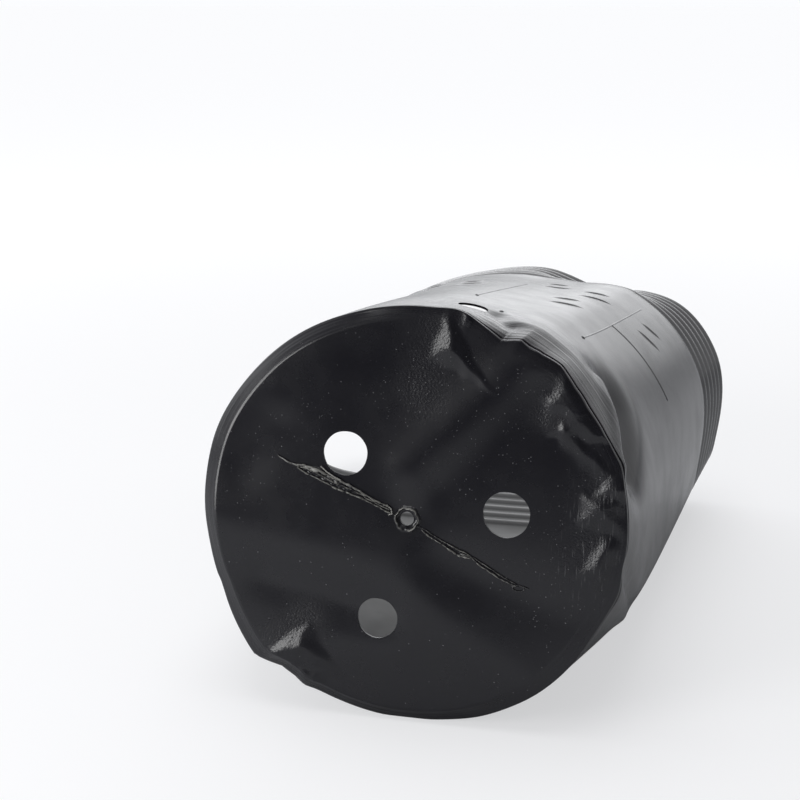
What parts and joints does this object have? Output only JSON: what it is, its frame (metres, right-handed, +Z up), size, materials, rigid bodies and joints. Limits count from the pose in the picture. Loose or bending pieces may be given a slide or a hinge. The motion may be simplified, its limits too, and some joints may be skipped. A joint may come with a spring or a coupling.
{
  "type": "seedling bag",
  "caption": "Soft black plastic nursery pot lying on its side, with a flat base with drainage holes and a ribbed collar at its sagging open mouth.",
  "frame": {"origin": "middle of the footprint, on the plane that the bag lies on", "axes": "+Z up, +Y from the base towards the open mouth, +X to the right when looking at the base"},
  "size_m": [0.184, 0.2299, 0.1279],
  "materials": {
    "black_polyethylene": "satin"
  },
  "bodies": {
    "root": {"seedling_bag": "black_polyethylene"}
  },
  "joints": []
}
